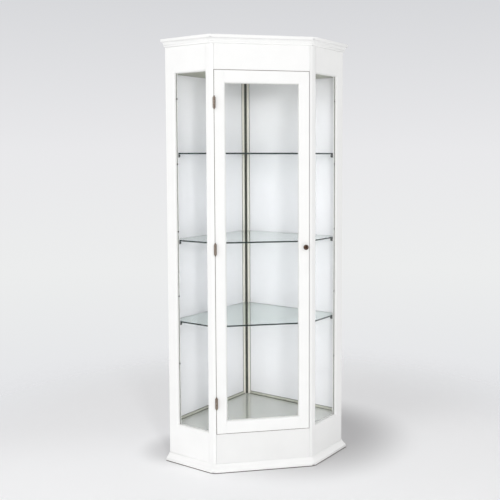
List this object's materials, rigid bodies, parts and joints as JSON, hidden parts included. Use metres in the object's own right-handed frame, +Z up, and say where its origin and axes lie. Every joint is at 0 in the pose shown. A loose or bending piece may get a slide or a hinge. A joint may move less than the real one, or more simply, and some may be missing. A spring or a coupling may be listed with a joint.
{
  "type": "corner curio cabinet",
  "caption": "Tall five-sided corner display cabinet with a hinged glazed front door, glazed side returns, glass shelves on pins, a moulded cornice and a moulded base.",
  "frame": {"origin": "on the floor, under the middle of the cabinet's bounding box", "axes": "+Z up; -Y is the way the front door faces; +X is to the right as seen from the front; the two walls of the room corner run at 45 degrees to X and meet behind, at +Y"},
  "size_m": [0.8052, 0.5884, 1.8],
  "materials": {
    "painted_wood": "satin white lacquer",
    "back_board": "gloss white lacquer",
    "cream_bead": "satin cream lacquer",
    "clear_glass": "polished float glass",
    "shelf_glass": "polished float glass with dark green edges",
    "dark_steel": "dark oxidised",
    "antique_bronze": "antique bronze",
    "dark_bronze": "dark bronze"
  },
  "bodies": {
    "carcass": {"front_plinth": "painted_wood", "front_frieze": "painted_wood", "front_post_left": "painted_wood", "front_post_right": "painted_wood", "rear_stile_left": "painted_wood", "rear_stile_right": "painted_wood", "side_top_rail_left": "painted_wood", "side_top_rail_right": "painted_wood", "side_bottom_rail_left": "painted_wood", "side_bottom_rail_right": "painted_wood", "side_glass_left": "clear_glass", "side_glass_right": "clear_glass", "floor_board": "painted_wood", "floor_glass": "shelf_glass", "ceiling_board": "painted_wood", "top_board": "painted_wood", "back_panel_left": "back_board", "back_panel_right": "back_board", "back_corner_post": "painted_wood", "corner_standard": "dark_steel", "back_corner_bead_left": "cream_bead", "back_corner_bead_right": "cream_bead", "back_foot_bead_left": "cream_bead", "back_foot_bead_right": "cream_bead", "cornice_front": "painted_wood", "cornice_left": "painted_wood", "cornice_right": "painted_wood", "base_moulding_front": "painted_wood", "base_moulding_left": "painted_wood", "base_moulding_right": "painted_wood", "shelf_1": "shelf_glass", "shelf_2": "shelf_glass", "shelf_3": "shelf_glass", "shelf_pin_1_front_left": "dark_steel", "shelf_pin_1_front_right": "dark_steel", "shelf_pin_1_rear_left": "dark_steel", "shelf_pin_1_rear_right": "dark_steel", "shelf_pin_2_front_left": "dark_steel", "shelf_pin_2_front_right": "dark_steel", "shelf_pin_2_rear_left": "dark_steel", "shelf_pin_2_rear_right": "dark_steel", "shelf_pin_3_front_left": "dark_steel", "shelf_pin_3_front_right": "dark_steel", "shelf_pin_3_rear_left": "dark_steel", "shelf_pin_3_rear_right": "dark_steel", "hinge_bottom_post_leaf": "antique_bronze", "hinge_middle_post_leaf": "antique_bronze", "hinge_top_post_leaf": "antique_bronze", "hinge_bottom_pin": "antique_bronze", "hinge_middle_pin": "antique_bronze", "hinge_top_pin": "antique_bronze"},
    "door": {"door_stile_left": "painted_wood", "door_stile_right": "painted_wood", "door_rail_top": "painted_wood", "door_rail_bottom": "painted_wood", "door_glass": "clear_glass", "door_knob": "dark_bronze", "hinge_bottom_door_leaf": "antique_bronze", "hinge_middle_door_leaf": "antique_bronze", "hinge_top_door_leaf": "antique_bronze"}
  },
  "joints": [
    {"name": "door_hinge", "type": "hinge", "parent": "carcass", "child": "door", "pos_m": [-0.19701, -0.27479, 0.934], "axis": [0, 0, -1], "range_deg": [0, 170]}
  ]
}
